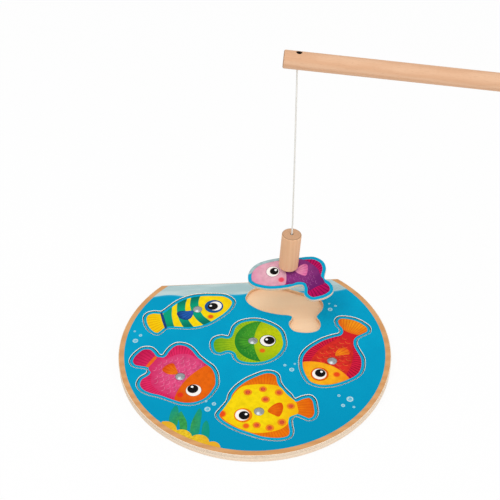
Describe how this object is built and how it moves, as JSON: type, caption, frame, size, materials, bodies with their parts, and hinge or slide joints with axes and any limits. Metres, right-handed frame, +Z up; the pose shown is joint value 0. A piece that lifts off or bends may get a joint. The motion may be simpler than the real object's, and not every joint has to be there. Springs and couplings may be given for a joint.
{
  "type": "magnetic fishing game",
  "caption": "Wooden magnetic fishing game: a round two-layer sea board with fish that lift out, and a rod whose magnet on a string holds one of them.",
  "frame": {"origin": "centre of the board's round edge, on the underside that rests on the table", "axes": "+Z up out of the board, +Y towards the straight back edge, +X to the right as seen from the rounded front"},
  "size_m": [0.3329, 0.1885, 0.2453],
  "materials": {
    "plywood": "pale plywood, bare and sanded",
    "printed_plywood": "pale plywood printed in satin colours",
    "beech": "bare turned beech",
    "steel": "plain domed steel",
    "nickel_magnet": "nickel-plated disc magnet",
    "cord": "white twisted cotton string"
  },
  "bodies": {
    "root": {"base_board": "plywood", "top_board": "printed_plywood", "striped_fish": "printed_plywood", "striped_fish_stud": "steel", "green_fish": "printed_plywood", "green_fish_stud": "steel", "pink_fish": "printed_plywood", "pink_fish_stud": "steel", "spotted_fish": "printed_plywood", "spotted_fish_stud": "steel", "red_fish": "printed_plywood", "red_fish_stud": "steel", "purple_fish": "printed_plywood", "purple_fish_stud": "steel", "magnet_holder": "beech", "magnet": "nickel_magnet", "holder_knot": "cord", "string": "cord", "rod_knot": "cord", "rod": "beech"}
  },
  "joints": []
}
